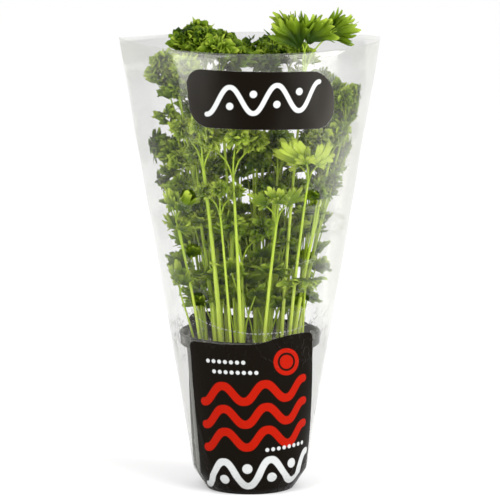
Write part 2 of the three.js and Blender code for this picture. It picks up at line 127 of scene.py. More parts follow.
PLACED = [
    frond([38, -16, 300], [22, -10], 27, 19, -70, 1.5, "crisp", 0.35),
    frond([-33, -38, 238], [-20, -20], 26, 18, -110, 2.1, "curly", 0.6),
    frond([-12, -44, 232], [-6, -27], 24, 18, -80, 1.6, "curly", 0.6),
    frond([-21, -40, 204], [-13, -29], 16, 12, -95, 1.2, "curly", 0.5),
    frond([41, -38, 228], [27, -22], 13, 19, -100, 1.4, "broad", 1.0),
    frond([19, -40, 199], [9, -28], 14, 14, -75, 1.5, "broad", 0.5),
    frond([39, -26, 148], [37, -6], 8, 18, -60, 1.1, "flat", 0.5),
    frond([-50, -14, 143], [-37, -6], 8, 15, 200, 1.1, "broad", 0.5),
    frond([-52, -22, 196], [-34, -15], 11, 18, 190, 1.3, "broad", 0.55, (0.8,)),
    frond([-47, 2, 219], [-30, 4], 17, 19, 160, 1.4, "curly", 0.6, (0.5, 0.62, 0.8, 0.93)),
    frond([-50, -6, 283], [-24, -4], 20, 21, 185, 1.7, "curly", 0.65, (0.5, 0.6, 0.74, 0.86, 0.96, 1.02)),
    frond([-32, 20, 303], [-16, 12], 20, 22, 120, 1.7, "curly", 0.35, (0.6, 0.76, 0.9, 1)),
    frond([68, -4, 262], [33, 5], 20, 19, 10, 1.4, "curly", 0.4, (0.72, 0.85)),
    frond([56, -14, 236], [30, -9], 15, 20, -20, 1.6, "curly", 0.5, (0.8,)),
    frond([28, 16, 300], [14, 9], 15, 20, 60, 1.6, "curly", 0.3, (0.6, 0.76, 0.9)),
    frond([55, 16, 214], [34, 15], 16, 19, 30, 1.3, "curly", 0.35, (0.5, 0.76)),
]
FILL = {
    "seed": 43, "count": 18, "heights": [292, 168, 268, 226, 306, 190, 250], "height_spread": 14, "inset": 16,
    "back_shift": 0.3, "depth": 0.66, "root_share": 0.52, "root_spread": 5, "turn_spread": 70,
    "reach": (13, 22), "blade": (17, 22), "girth": (1.2, 1.7),
    # The filling fronds stand inside and behind the placed ones, and their low tones are painted shade.
    "tones": (0.05, 0.13, 0.21, 0.29),
}
GOLDEN_ANGLE = 137.508
# Blender's own noise of three values starts from the clock, so each value is read at a place of its own.
NOISE_OFFSETS = [(0, 0, 0), (31.4, 17.2, 5.9), (-12.7, 44.1, 23.6)]


def mix(low, high, share):
    return low + (high - low) * share


def smooth_step(value):
    held = min(1, max(0, value))
    return held * held * (3 - 2 * held)


class Draws:
    """Numbers from 0 to 1, the same ones for the same seed."""

    def __init__(self, seed):
        self.state = seed

    def __call__(self):
        self.state = (self.state * 1664525 + 1013904223) % 2**32
        return self.state / 2**32

    def between(self, bounds):
        return mix(*bounds, self())


# Sleeve section
def section_at(z):
    """The sleeve's half width, half depth and the sharpness of its two corners at a height."""
    lower, upper = SECTIONS[-2:]
    for one, two in zip(SECTIONS, SECTIONS[1:]):
        if z < two["z"]:
            lower, upper = one, two
            break
    share = (z - lower["z"]) / (upper["z"] - lower["z"])
    return [mix(lower[key], upper[key], share) for key in ("a", "b", "left", "right")]


def fill_at(x, y, z):
    """How far out a point lies: 0 on the middle axis and 1 at the film, less the inset."""
    a, b, left, right = section_at(z)
    sharp = left if x < 0 else right
    across = (abs(y) / (b - CROWDING["inset"])) ** (1 / sharp)
    return ((x / (a - CROWDING["inset"])) ** 2 + across) ** max(0.5, sharp)


def inside_sleeve(point):
    """Crowds a point of a leaf inwards near the film, so that the leaf bends along it."""
    fill = fill_at(*point)
    start = CROWDING["from"]
    if fill <= start:
        return point
    room = 1 - start
    share = (1 - room * exp((start - fill) / room)) / fill
    return Vector((point.x * share, point.y * share, point.z))


def over_ceiling(point, kind):
    """How far a leaf with its tip at a point goes down, to stay below the domes or the lone sprig's top."""
    domes = [dome["top"] - dome["fall"] * (point.x - dome["x"]) ** 2 for dome in DOMES]
    bump = CEILING["bumps"] * noise.noise(Vector((point.x, point.y, 0)) * CEILING["pitch"])
    ceiling = SPRIG_TOP if kind == "crisp" else max(domes) + bump
    room = CEILING["room"]
    over = point.z - (ceiling - room)
    return over - room * (1 - exp(-over / room)) if over > 0 else 0


# Planting
def filling_fronds():
    draw = Draws(FILL["seed"])
    fronds = []
    for i in range(FILL["count"]):
        z = FILL["heights"][i % len(FILL["heights"])] + FILL["height_spread"] * (draw() - 0.5)
        angle = radians(GOLDEN_ANGLE * i)
        share = sqrt((i + 0.5) / FILL["count"])
        a, b, _, _ = section_at(z)
        x = (a - FILL["inset"]) * share * cos(angle)
        y = (b - FILL["inset"]) * (FILL["back_shift"] + FILL["depth"] * share * sin(angle))
        root = [way * FILL["root_share"] + FILL["root_spread"] * (draw() - 0.5) for way in (x, y)]
        reach, blade = draw.between(FILL["reach"]), draw.between(FILL["blade"])
        turn = GOLDEN_ANGLE * i + FILL["turn_spread"] * (draw() - 0.5)
        girth = draw.between(FILL["girth"])
        # The frame draws one number more, for the cup of its blades.
        draw()
        # Painted shade: the inner and back fronds take these dark tones.
        tone = FILL["tones"][i % len(FILL["tones"])]
        fronds.append(frond([x, y, z], root, reach, blade, turn, girth, "curly", tone, LOW_SHARES))
    return fronds


def stalk_knots(one):
    low = SOIL["height"] - STALK["root_depth"]
    top = one["fork"][2]
    steps = ceil((top - low) / STALK["step"] - STALK["shortest"])
    knots = []
    for i in range(steps + 1):
        z = top if i == steps else low + i * STALK["step"]
        share = ((z - low) / (top - low)) ** STALK["bow"]
        knots.append(Vector([mix(one["root"][k], one["fork"][k], share) for k in range(2)] + [z]))
    return knots


def stalk_radius(one, knot):
    return one["girth"] * mix(1, STALK["taper"], knot / (len(one["knots"]) - 1))


def at_height(lower, upper, z):
    return lower.lerp(upper, (z - lower.z) / (upper.z - lower.z))


def nudge(lower, upper, z, push):
    """Moves the two ends of a stretch of stalk, so that its point at a height moves by a push."""
    share = (z - lower.z) / (upper.z - lower.z)
    lower += push * (1 - share)
    upper += push * share


def part_stretches(one, i, other, j):
    a, b = one["knots"][i : i + 2]
    c, d = other["knots"][j : j + 2]
    low, high = max(a.z, c.z), min(b.z, d.z)
    if high <= low:
        return
    start = at_height(c, d, low) - at_height(a, b, low)
    run = at_height(c, d, high) - at_height(a, b, high) - start
    share = min(1, max(0, -start.dot(run) / max(run.length_squared, 1e-9)))
    apart = start + run * share
    wanted = stalk_radius(one, i) + stalk_radius(other, j) + PARTING["spare"]
    distance = max(apart.length, 1e-3)
    if distance >= wanted:
        return
    push = apart * ((wanted - distance) / (2 * distance))
    z = mix(low, high, share)
    nudge(c, d, z, push)
    nudge(a, b, z, -push)


def hold_knot(knot):
    """Keeps a knot within the pot's mouth, or within the film above it."""
    if knot.z > POT["height"]:
        factor = PARTING["fill"] / fill_at(*knot)
    else:
        factor = (POT["throat_radius"] - PARTING["pot_inset"]) / hypot(knot.x, knot.y)
    knot.xy *= min(1, factor)


def part_stalks(fronds):
    for _ in range(PARTING["rounds"]):
        for index, one in enumerate(fronds):
            for other in fronds[index + 1 :]:
                for i in range(len(one["knots"]) - 1):
                    for j in range(max(0, i - 1), min(i + 2, len(other["knots"]) - 1)):
                        part_stretches(one, i, other, j)
        for one in fronds:
            for knot in one["knots"]:
                hold_knot(knot)


def leaflet_of(one, leaflet, fork, tone):
    """A leaflet's branch path, and the directions along, across and above its blade."""
    heading = radians(one["turn"] + leaflet["turn"])
    out = Vector((cos(heading), sin(heading), 0))

    def slanted(degrees):
        return out * cos(radians(degrees)) + UP * sin(radians(degrees))

    length = one["reach"] * leaflet["reach"]
    kind = leaflet.get("kind", one["kind"])
    tilt = leaflet.get("tilt", BLADE_TILT + LIFTS[kind])
    along = slanted(tilt)
    back = (BACK - along * along.dot(BACK)).normalized()
    above = slanted(tilt + 90).lerp(back, FACING[kind]).normalized()
    start = fork - UP * BRANCH["sink"] + out * BRANCH["aside"]
    middle = fork + slanted(leaflet["rise"] + BRANCH["steepen"]) * (length / 2)
    tip = fork + slanted(leaflet["rise"]) * length
    return {
        "path": [start, inside_sleeve(middle), inside_sleeve(tip)],
        "tip": tip,
        "along": along,
        "above": above,
        "across": above.cross(along),
        "length": one["blade"] * leaflet["size"],
        "tone": tone,
        "kind": kind,
        "tuft": TUFT_COUNT,
    }


def low_leaflet(one, leaflet, share, turn):
    """A leaflet beside the stalk, on a thin branch that leaves the stalk further down."""
    spot = curve_point(one["knots"], share)[0]
    kind = "curly" if spot.z > PLAIN_BELOW else "low"
    tone = LOW_TONE["share"] * one["tone"] + LOW_TONE[kind]
    low = leaflet_of(one, {**leaflet, "turn": leaflet["turn"] + turn, "kind": kind}, spot, tone)
    start = curve_point(one["knots"], max(LOW_BRANCH["lowest"], share - LOW_BRANCH["below"]))[0]
    tip = low["path"][-1]
    middle = start.lerp(tip, 0.5)
    middle.xy += (spot.xy - tip.xy) * LOW_BRANCH["bow"]
    low["path"] = [start, middle, tip]
    low["tuft"] = LOW_TUFT_COUNT
    return low


def planted_fronds():
    fronds = PLACED + filling_fronds()
    for one in fronds:
        one["knots"] = stalk_knots(one)
    part_stalks(fronds)
    for one in fronds:
        knots = one["knots"]
        leaflets = SPRIG_LEAFLETS if one["kind"] == "crisp" else LEAFLETS
        one["leaflets"] = [leaflet_of(one, leaflet, knots[-1], one["tone"]) for leaflet in leaflets]
        one["low_leaflets"] = [
            low_leaflet(one, leaflet, share, LOW_BRANCH["quarter"] * i)
            for i, share in enumerate(one["lower"])
            for leaflet in LOW_PAIR
            if curve_point(knots, share)[0].z > LOW_PAIR_FLOOR
        ]
    return fronds


def noise_shift(point):
    """A smooth random shift at a point, the same in every run."""
    return Vector([noise.noise(point + Vector(offset)) for offset in NOISE_OFFSETS])


# Mesh helpers
def new_grid(columns, rows):
    """A grid of faces one unit wide about the origin, with its UV map from 0 to 1."""
    mesh = bmesh.new()
    layer = mesh.loops.layers.uv.new("UVMap")
    bmesh.ops.create_grid(mesh, x_segments=columns, y_segments=rows, size=0.5, calc_uvs=True)
    for face in mesh.faces:
        for loop in face.loops:
            loop[layer].uv = (loop.vert.co.x + 0.5, loop.vert.co.y + 0.5)
    return mesh


def shaped_grid(columns, rows, formula, weld=1e-5):
    """A grid moved by a formula of each vertex's shares across and along, with its seams welded."""
    mesh = new_grid(columns, rows)
    for vert in mesh.verts:
        vert.co = formula(vert.co.x + 0.5, vert.co.y + 0.5)
    if weld:
        bmesh.ops.remove_doubles(mesh, verts=mesh.verts, dist=weld)
    return mesh


def finish_piece(mesh, name, material, nodes):
    """Makes a mesh in millimetres an object of the scene that stands for its CAD nodes."""
    bmesh.ops.scale(mesh, vec=(MM, MM, MM), verts=mesh.verts)
    data = bpy.data.meshes.new(name)
    for face in mesh.faces:
        face.smooth = True
    mesh.to_mesh(data)
    mesh.free()
    data.materials.append(material)
    piece = bpy.data.objects.new(name, data)
    bpy.context.scene.collection.objects.link(piece)
    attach(piece, "root")
    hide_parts(*nodes)
    return piece


def punch(mesh, centres, radius):
    """Cuts round holes along an axis into a sheet: faces in a hole go, and the rim moves onto its circle.
    Centres are (point, axis) pairs, and a hole goes through the side that its axis points to."""
    for centre, axis in centres:
        across = [Vector((1, 0, 0)), axis.cross(Vector((1, 0, 0)))]

        def flat(point):
            return Vector([(point - centre).dot(way) for way in across])

        near = [f for f in mesh.faces if (f.calc_center_median() - centre).dot(axis) > 0]
        gone = [f for f in near if flat(f.calc_center_median()).length < radius]
        rim = {e for f in gone for e in f.edges if not all(g in gone for g in e.link_faces)}
        rim_verts = {v for e in rim for v in e.verts}
        bmesh.ops.delete(mesh, geom=gone, context="FACES")
        for vert in rim_verts:
            place = flat(vert.co)
            move = place.normalized() * radius - place
            vert.co += across[0] * move.x + across[1] * move.y


def thicken(mesh, thickness):
    bmesh.ops.recalc_face_normals(mesh, faces=mesh.faces)
    bmesh.ops.solidify(mesh, geom=mesh.faces[:], thickness=thickness)


# Shader maths
class Value:
    """A socket of numbers that takes part in arithmetic."""

    def __init__(self, finish, socket):
        self.finish = finish
        self.socket = socket

    def math(self, operation, *others):
        return self.finish.math(operation, self, *others)

    def __add__(self, other):
        return self.math("ADD", other)

    def __sub__(self, other):
        return self.math("SUBTRACT", other)

    def __rsub__(self, other):
        return self.finish.math("SUBTRACT", other, self)

    def __mul__(self, other):
        return self.math("MULTIPLY", other)

    def __truediv__(self, other):
        return self.math("DIVIDE", other)

    def __abs__(self):
        return self.math("ABSOLUTE")

    def __lt__(self, other):
        return self.math("LESS_THAN", other)

    def __gt__(self, other):
        return self.math("GREATER_THAN", other)

    __radd__ = __add__
    __rmul__ = __mul__

    def sine(self):
        return self.math("SINE")

    def cosine(self):
        return self.math("COSINE")

    def fraction(self):
        return self.math("FRACT")

    def root(self):
        return self.math("SQRT")

    def least(self, other):
        return self.math("MINIMUM", other)

    def most(self, other):
        return self.math("MAXIMUM", other)

    def ramp(self, low, high):
        """0 at low, 1 at high and smooth between."""
        node = self.finish.node(
            "ShaderNodeMapRange", {"interpolation_type": "SMOOTHSTEP"},
            {"Value": self, "From Min": low, "From Max": high},
        )
        return Value(self.finish, node.outputs["Result"])


class Finish:
    """A procedural material in the making."""

    def __init__(self, name):
        self.material = bpy.data.materials.new(name)
        self.material.use_nodes = True
        self.tree = self.material.node_tree
        self.tree.nodes.clear()

    def node(self, kind, settings=None, inputs=None):
        node = self.tree.nodes.new(kind)
        for key, value in (settings or {}).items():
            setattr(node, key, value)
        for key, value in (inputs or {}).items():
            socket = node.inputs[key]
            if isinstance(value, Value):
                self.tree.links.new(value.socket, socket)
            elif isinstance(value, bpy.types.NodeSocket):
                self.tree.links.new(value, socket)
            else:
                socket.default_value = value
        return node

    def math(self, operation, *values):
        node = self.node("ShaderNodeMath", {"operation": operation}, dict(enumerate(values)))
        return Value(self, node.outputs[0])

    def attribute(self, name):
        return Value(self, self.node("ShaderNodeAttribute", {"attribute_name": name}).outputs["Fac"])

    def axes(self, vector):
        node = self.node("ShaderNodeSeparateXYZ", inputs={"Vector": vector})
        return [Value(self, node.outputs[key]) for key in "XYZ"]

    def place(self):
        return self.node("ShaderNodeTexCoord").outputs["Object"]

    def noise(self, scale, detail=2.0, stretch=(1, 1, 1), vector=None):
        mapping = self.node("ShaderNodeMapping", inputs={"Vector": vector or self.place(), "Scale": stretch})
        inputs = {"Vector": mapping.outputs["Vector"], "Scale": scale, "Detail": detail}
        return Value(self, self.node("ShaderNodeTexNoise", inputs=inputs).outputs["Fac"])

    def blend(self, share, first, second):
        """A colour between two, each a socket or a colour."""
        settings = {"data_type": "RGBA"}
        node = self.node("ShaderNodeMix", settings, {0: share, 6: first, 7: second})
        return node.outputs[2]

    def bump(self, height, distance, strength=1.0):
        inputs = {"Height": height, "Distance": distance, "Strength": strength}
        return self.node("ShaderNodeBump", inputs=inputs).outputs["Normal"]

    def principled(self, **inputs):
        named = {key.replace("_", " ").title().replace("Ior", "IOR"): value for key, value in inputs.items()}
        return self.node("ShaderNodeBsdfPrincipled", inputs=named).outputs["BSDF"]

    def close(self, shader):
        self.node("ShaderNodeOutputMaterial", inputs={"Surface": shader})
        return self.material


def rgb(red, green, blue):
    """A colour given in screen values from 0 to 255, as linear light."""
    shares = [value / 255 for value in (red, green, blue)]
    linear = [share / 12.92 if share <= 0.04045 else ((share + 0.055) / 1.055) ** 2.4 for share in shares]
    return (*linear, 1.0)


# Settings
def colour(name, description, default):
    return bpy.props.FloatVectorProperty(
        name=name, description=description, subtype="COLOR", size=4, min=0, max=1, default=default
    )


class ParsleyLeafSettings(bpy.types.PropertyGroup):
    dark: colour("Dark leaf", "Colour of the old leaves", rgb(45, 70, 5))
    fresh: colour("Fresh leaf", "Colour of the full-grown leaves", rgb(106, 133, 17))
    young: colour("Young leaf", "Colour of the youngest leaves", rgb(178, 198, 66))
    stem: colour("Stem", "Colour of the stalks", rgb(138, 164, 34))
    stem_foot: colour("Stem foot", "Colour of the stalks at the soil", rgb(166, 184, 68))
    thickness: bpy.props.FloatProperty(
        name="Leaf thickness", description="Thickness of a leaf", subtype="DISTANCE", default=0.22 * MM
    )


class ParsleyPotSettings(bpy.types.PropertyGroup):
    plastic: colour("Plastic", "Colour of the pot", rgb(20, 19, 18))
    earth: colour("Earth", "Colour of the soil", rgb(46, 36, 27))


class ParsleySleeveSettings(bpy.types.PropertyGroup):
    film: colour("Film", "Tint of the clear film", rgb(98, 97, 90))
    black: colour("Black ink", "Colour of the dark panels", rgb(10, 6, 2))
    white: colour("White ink", "Colour of the pale marks", rgb(168, 170, 169))
    red: colour("Red ink", "Colour of the red marks", rgb(142, 17, 2))
    haze: bpy.props.FloatProperty(
        name="Haze", description="How much one wall of film hides", subtype="FACTOR", default=0.09,
        min=0, max=1,
    )


# Leaves
# Each kind's spread in degrees, its lobes and teeth with how deep their cuts go, its grid and its folds.
LEAF_KINDS = {
    "fan": {"spread": 64, "lobes": 3, "teeth": 10, "cut": 0.5, "tooth": 0.3, "sharp": 0.4, "ruffle": 0.12,
            "folds": 3.5, "columns": 30, "rows": 2, "droop": 0.12, "crumple": 0.1, "size": 19},
    "curl": {"spread": 78, "lobes": 3, "teeth": 6, "cut": 0.6, "tooth": 0.5, "sharp": 0.3, "ruffle": 0.24,
             "folds": 4, "columns": 24, "rows": 2, "droop": 0.2, "crumple": 0.2, "size": 10},
    "crisp": {"spread": 42, "lobes": 3, "teeth": 10, "cut": 0.72, "tooth": 0.24, "sharp": 0.7, "ruffle": 0.1,
              "folds": 3, "columns": 50, "rows": 6, "droop": 0.24, "crumple": 0.12, "size": 24},
    "broad": {"spread": 44, "lobes": 3, "teeth": 8, "cut": 0.5, "tooth": 0.2, "sharp": 0.1, "ruffle": 0.08,
              "folds": 2, "columns": 48, "rows": 6, "droop": 0.24, "crumple": 0.14, "size": 18},
    "plain": {"spread": 48, "lobes": 3, "teeth": 8, "cut": 0.55, "tooth": 0.22, "sharp": 0.2, "ruffle": 0.1,
              "folds": 2, "columns": 32, "rows": 3, "droop": 0.24, "crumple": 0.16, "size": 16},
}
LEAF_FOOT = 0.05
# How the leaves of one kind differ, how full a lobe and a tooth are, and how a leaf bends as it grows.
LEAF_DRIFT = {"pitch": 2.3, "step": 7.1, "reach": 0.22, "turn": 0.12}
LEAF_CUT = {"lobe": 1.7, "lobe_power": 0.7, "tooth": 1.5, "side": 0.14, "growth": 0.85}
LEAF_BEND = {"fold_power": 1.6, "fold_step": 2.1, "crimp": 0.35, "crumple_pitch": 2.6, "crumple_step": 3.7}
VARIANTS = 4
# How the small leaves sit on a blade: turn and tilt in degrees, foot and size as shares of the blade.
WHORLS = {
    "curly": [("fan", 0, 0, 1, 0)],
    "crisp": [("crisp", 0, 0, 1, 0), ("crisp", -16, 0, 0.94, 12), ("crisp", 16, 0, 0.92, -10),
              ("crisp", 4, 0.06, 0.66, 30)],
    "broad": [("broad", 0, 0, 1.15, 0), ("broad", -52, 0, 0.5, 20), ("broad", 52, 0, 0.5, 20)],
    "flat": [("broad", 0, 0, 1.0, 0), ("broad", -70, -0.04, 0.8, -6), ("broad", 70, -0.04, 0.8, -6),
             ("broad", 180, 0, 0.5, 0)],
    "low": [("plain", 0, 0, 1.1, 0), ("plain", -60, -0.02, 0.85, 12), ("plain", 60, -0.02, 0.85, 12),
            ("curl", 20, 0.3, 0.5, 40)],
}
JITTER = {"turn": 16, "tilt": 14, "size": 0.3}
# The curled leaves of a tuft point every way about a middle over the blade, and face up, more or less.
TUFT = {"middle": 0.38, "lift": 0.16, "size": 0.46, "lowest": 0.5, "foot": 0.14, "twist": 0.6, "lean": 0.4,
        "scatter": 1.6}
TUFT_COUNT = 17
LOW_TUFT_COUNT = 6
# How much the tone changes from leaf to leaf: over a blade and over a tuft at random, and from a tuft's
# foot to its top, where leaves that point up are painted lighter as a painted highlight.
TONE_SPREAD = {"blade": 0.25, "tuft": 0.3, "up": 0.12}
# A leaf grows lighter by this much over its length, and has its own tone at the middle given here.
TIP_LIGHT = 1.1
TIP_MIDDLE = 0.6


def leaf_template(kind, seed, thickness):
    """A leaf of unit length from the origin along +Y, toothed, lobed and ruffled, with its thickness."""
    form = LEAF_KINDS[kind]

    def place(across, along):
        u = 2 * across - 1
        drift = noise.noise(Vector((u * LEAF_DRIFT["pitch"], seed * LEAF_DRIFT["step"], 0.4)))
        lobe = min(1, LEAF_CUT["lobe"] * abs(sin(pi * across * form["lobes"])) ** LEAF_CUT["lobe_power"])
        turn = pi * across * form["teeth"]
        tooth = mix(min(1, LEAF_CUT["tooth"] * abs(sin(turn))), 1 - abs(cos(turn)), form["sharp"])
        full = 1 - LEAF_CUT["side"] * abs(u) + LEAF_DRIFT["reach"] * drift
        reach = mix(form["cut"], 1, lobe) * (1 - form["tooth"] * (1 - tooth)) * full
        length = mix(LEAF_FOOT, reach, along ** LEAF_CUT["growth"])
        angle = radians(form["spread"]) * (u + LEAF_DRIFT["turn"] * drift)
        wave = sin(pi * u * form["folds"] + seed * LEAF_BEND["fold_step"])
        fold = form["ruffle"] * along ** LEAF_BEND["fold_power"] * wave
        crimp = LEAF_BEND["crimp"] * form["ruffle"] * along**3 * cos(pi * u * form["teeth"] / 2 + seed)
        lift = fold + crimp - form["droop"] * length * length
        point = Vector((length * sin(angle), length * cos(angle), lift))
        spot = point * LEAF_BEND["crumple_pitch"] + Vector((seed * LEAF_BEND["crumple_step"], 0, 0))
        return point + form["crumple"] * along * noise_shift(spot)

    mesh = shaped_grid(form["columns"], form["rows"], place, weld=0)
    sheet = bpy.data.meshes.new(f"{kind}_{seed}")
    mesh.to_mesh(sheet)
    mesh.free()
    holder = bpy.data.objects.new(sheet.name, sheet)
    bpy.context.scene.collection.objects.link(holder)
    wall = holder.modifiers.new("wall", "SOLIDIFY")
    wall.thickness = thickness / form["size"]
    wall.offset = 0
    bpy.context.view_layer.update()
    data = bpy.data.meshes.new_from_object(holder.evaluated_get(bpy.context.evaluated_depsgraph_get()))
    bpy.data.objects.remove(holder)
    return data


def set_leaf(spot, raised, face, scale):
    """The matrix that stands a template on a spot, its length along one way and its face to another."""
    turned = Matrix((raised.cross(face), raised, face)).transposed() * scale
    return Matrix.Translation(spot) @ turned.to_4x4()


def leaf_matrix(leaflet, turn, foot, size, tilt):
    along, across, above = (leaflet[key] for key in ("along", "across", "above"))
    way = along * cos(radians(turn)) + across * sin(radians(turn))
    raised = way * cos(radians(tilt)) + above * sin(radians(tilt))
    face = above * cos(radians(tilt)) - way * sin(radians(tilt))
    spot = leaflet["tip"] + way * (foot * leaflet["length"]) + above * (0.3 * foot * leaflet["length"])
    return set_leaf(spot, raised, face, leaflet["length"] * size)


def tuft_matrices(leaflet, draw):
    """The places of a tuft's leaves, with how far up each one points, from -1 to 1."""
    along, across, above = (leaflet[key] for key in ("along", "across", "above"))
    length = leaflet["length"]
    middle = leaflet["tip"] + along * (TUFT["middle"] * length) + above * (TUFT["lift"] * length)
    count = leaflet["tuft"]
    for i in range(count):
        up = 1 - (1 + TUFT["lowest"]) * (i + draw()) / count
        turn = radians(GOLDEN_ANGLE * i) + TUFT["twist"] * draw()
        level = sqrt(max(0, 1 - up * up))
        raised = along * (level * cos(turn)) + across * (level * sin(turn)) + above * up
        strayed = Vector((draw() - 0.5, draw() - 0.5, draw() - 0.5)) * TUFT["scatter"]
        leaned = UP + along * TUFT["lean"] + strayed
        face = (leaned - raised * leaned.dot(raised)).normalized()
        size = TUFT["size"] * (1 + JITTER["size"] * (draw() - 0.5))
        yield set_leaf(middle + raised * (TUFT["foot"] * length), raised, face, size * length), up


def add_leaf(mesh, layers, template, matrix, tone, kind):
    """Adds a leaf that is lighter at its teeth than at its foot."""
    known = len(mesh.verts)
    mesh.from_mesh(template)
    mesh.verts.ensure_lookup_table()
    tip = matrix @ Vector((0, 1, 0))
    low = tip - UP * over_ceiling(tip, kind)
    move = inside_sleeve(low) - tip
    for vert in mesh.verts[known:]:
        vert[layers["tone"]] = tone + TIP_LIGHT * (vert.co.length - TIP_MIDDLE)
        vert[layers["leafy"]] = 1
        vert.co = inside_sleeve(matrix @ vert.co + move)


def add_whorl(mesh, layers, templates, one, leaflet, draw):
    for kind, turn, foot, size, tilt in WHORLS[leaflet["kind"]]:
        template = templates[kind][int(draw() * VARIANTS)]
        turned = turn + JITTER["turn"] * (draw() - 0.5)
        tilted = tilt + JITTER["tilt"] * (draw() - 0.5)
        sized = size * (1 + JITTER["size"] * (draw() - 0.5))
        tone = leaflet["tone"] + TONE_SPREAD["blade"] * (draw() - 0.5)
        matrix = leaf_matrix(leaflet, turned, foot, sized, tilted)
        add_leaf(mesh, layers, template, matrix, min(1, max(0, tone)), one["kind"])
    if leaflet["kind"] == "curly":
        for matrix, up in tuft_matrices(leaflet, draw):
            # A leaf that points up gets a painted highlight, and every leaf a random spread of tone.
            tone = leaflet["tone"] + TONE_SPREAD["up"] * up + TONE_SPREAD["tuft"] * (draw() - 0.5)
            template = templates["curl"][int(draw() * VARIANTS)]
            add_leaf(mesh, layers, template, matrix, min(1, max(0, tone)), one["kind"])


# Stalks
TUBE = {"sides": 8, "pitch": 10, "fewest": 4, "ribs": 4, "rib": 0.08}
# The tone at a stalk's root, at its fork and at a branch's tip, where 1 is the colour of the stalk's foot.
STALK_TONES = (1, 0.25, 0)
FROND_SEED = 1000


def curve_point(knots, share):
    """A point at a share of a smooth curve through knots, and the curve's direction there."""
    spot = share * (len(knots) - 1)
    i = min(int(spot), len(knots) - 2)
    t = spot - i
    a, b, c, d = (knots[min(max(k, 0), len(knots) - 1)] for k in range(i - 1, i + 3))
    point = 0.5 * (2 * b + (c - a) * t + (2 * a - 5 * b + 4 * c - d) * t**2 + (3 * b - a - 3 * c + d) * t**3)
    way = 0.5 * ((c - a) + 2 * (2 * a - 5 * b + 4 * c - d) * t + 3 * (3 * b - a - 3 * c + d) * t**2)
    return point, way.normalized()


def add_tube(mesh, knots, radii, tones):
    """A ribbed, closed tube along a smooth curve through knots, with a radius and a tone for each end."""
    length = sum((two - one).length for one, two in zip(knots, knots[1:]))
    rows = max(TUBE["fewest"], round(length / TUBE["pitch"]))
    grid = new_grid(TUBE["sides"], rows)
    tone = grid.verts.layers.float.new("tone")
    for vert in grid.verts:
        across, along = vert.co.x + 0.5, vert.co.y + 0.5
        point, way = curve_point(knots, along)
        side = (Vector((1, 0, 0)) - way * way.x).normalized()
        angle = 2 * pi * across
        radius = mix(*radii, along) * (1 + TUBE["rib"] * cos(TUBE["ribs"] * angle))
        vert.co = point + (side * cos(angle) + way.cross(side) * sin(angle)) * radius
        vert[tone] = mix(*tones, along)
    bmesh.ops.remove_doubles(grid, verts=grid.verts, dist=WELD)
    bmesh.ops.holes_fill(grid, edges=grid.edges, sides=TUBE["sides"])
    bmesh.ops.recalc_face_normals(grid, faces=grid.faces)
    data = bpy.data.meshes.new("tube")
    grid.to_mesh(data)
    grid.free()
    mesh.from_mesh(data)
    bpy.data.meshes.remove(data)


def build_frond(one, number, templates, material):
    draw = Draws(FROND_SEED + number)
    leaves = bmesh.new()
    layers = {key: leaves.verts.layers.float.new(key) for key in ("tone", "leafy")}
    leaflets = one["leaflets"] + one["low_leaflets"]
    for leaflet in leaflets:
        add_whorl(leaves, layers, templates, one, leaflet, draw)
    foot, head = (STALK["slim"] * stalk_radius(one, knot) for knot in (0, len(one["knots"]) - 1))
    add_tube(leaves, one["knots"], (foot, head), STALK_TONES[:2])
    for leaflet in leaflets:
        radii = (BRANCH["girth"] * head, BRANCH["tip_radius"])
        add_tube(leaves, leaflet["path"], radii, STALK_TONES[1:])
    name = f"frond_{number:02d}"
    return finish_piece(leaves, "fine_" + name, material, [name])


def parsley_finish(settings):
    finish = Finish("parsley")
    tone, leafy = finish.attribute("tone"), finish.attribute("leafy")
    patch = finish.noise(90, 3)
    grain = finish.noise(900, 2)
    shade = tone + (patch - 0.5) * 0.5
    # Low tones go to the dark colour: old leaves, and the painted shade of the filling fronds.
    old = finish.blend(shade.ramp(0.0, 0.5), tuple(settings.dark), tuple(settings.fresh))
    leaf = finish.blend(shade.ramp(0.5, 1.05), old, tuple(settings.young))
    streak = finish.noise(500, 2, (1, 1, 0.06))
    aged = (tone + (streak - 0.5) * 0.7).ramp(0.1, 0.9)
    stem = finish.blend(aged, tuple(settings.stem), tuple(settings.stem_foot))
    base = finish.blend(leafy, stem, leaf)
    bump = finish.bump(grain * 0.5 + streak * 0.5, 0.0004, 0.5)
    skin = finish.principled(
        base_color=base, roughness=0.46 + grain * 0.16, specular_ior_level=0.22, normal=bump
    )
    glow = finish.node("ShaderNodeBsdfTranslucent", inputs={"Color": rgb(120, 156, 26)}).outputs["BSDF"]
    mixed = finish.node("ShaderNodeMixShader", inputs={0: leafy * 0.3 + 0.08, 1: skin, 2: glow})
    return finish.close(mixed.outputs["Shader"])


# Pot
# The floor's rings lie close together where the drain holes are cut.
FLOOR_RINGS = (0, 6, *range(12, 24))
POT_STEPS = 96


def pot_profile():
    """The pot's outside from the middle of its floor to its rim, with rounded edges, as (radius, height)."""
    stand, throat_height, height = POT["stand"], POT["throat_height"], POT["height"]
    foot, shoulder, collar = POT["foot_radius"], POT["shoulder_radius"], POT["collar_radius"]
    inner = foot - POT["ring_width"]
    floor = stand + POT["recess"]
    return [
        *((radius, floor) for radius in FLOOR_RINGS), (inner - 1, floor), (inner, stand + 0.3),
        (inner + 0.5, stand), (foot - 0.6, stand), (foot, stand + 0.4),
        (shoulder, POT["shoulder_height"]), (shoulder + 0.6, POT["shoulder_height"] + 2),
        (POT["throat_radius"], throat_height), (collar - 0.9, throat_height + 0.4),
        (collar - 0.2, throat_height + 1), (collar, height - 2.6), (collar + 0.5, height - 1.6),
        (collar + 0.3, height - 0.4), (collar - POT["wall"] / 2, height),
    ]


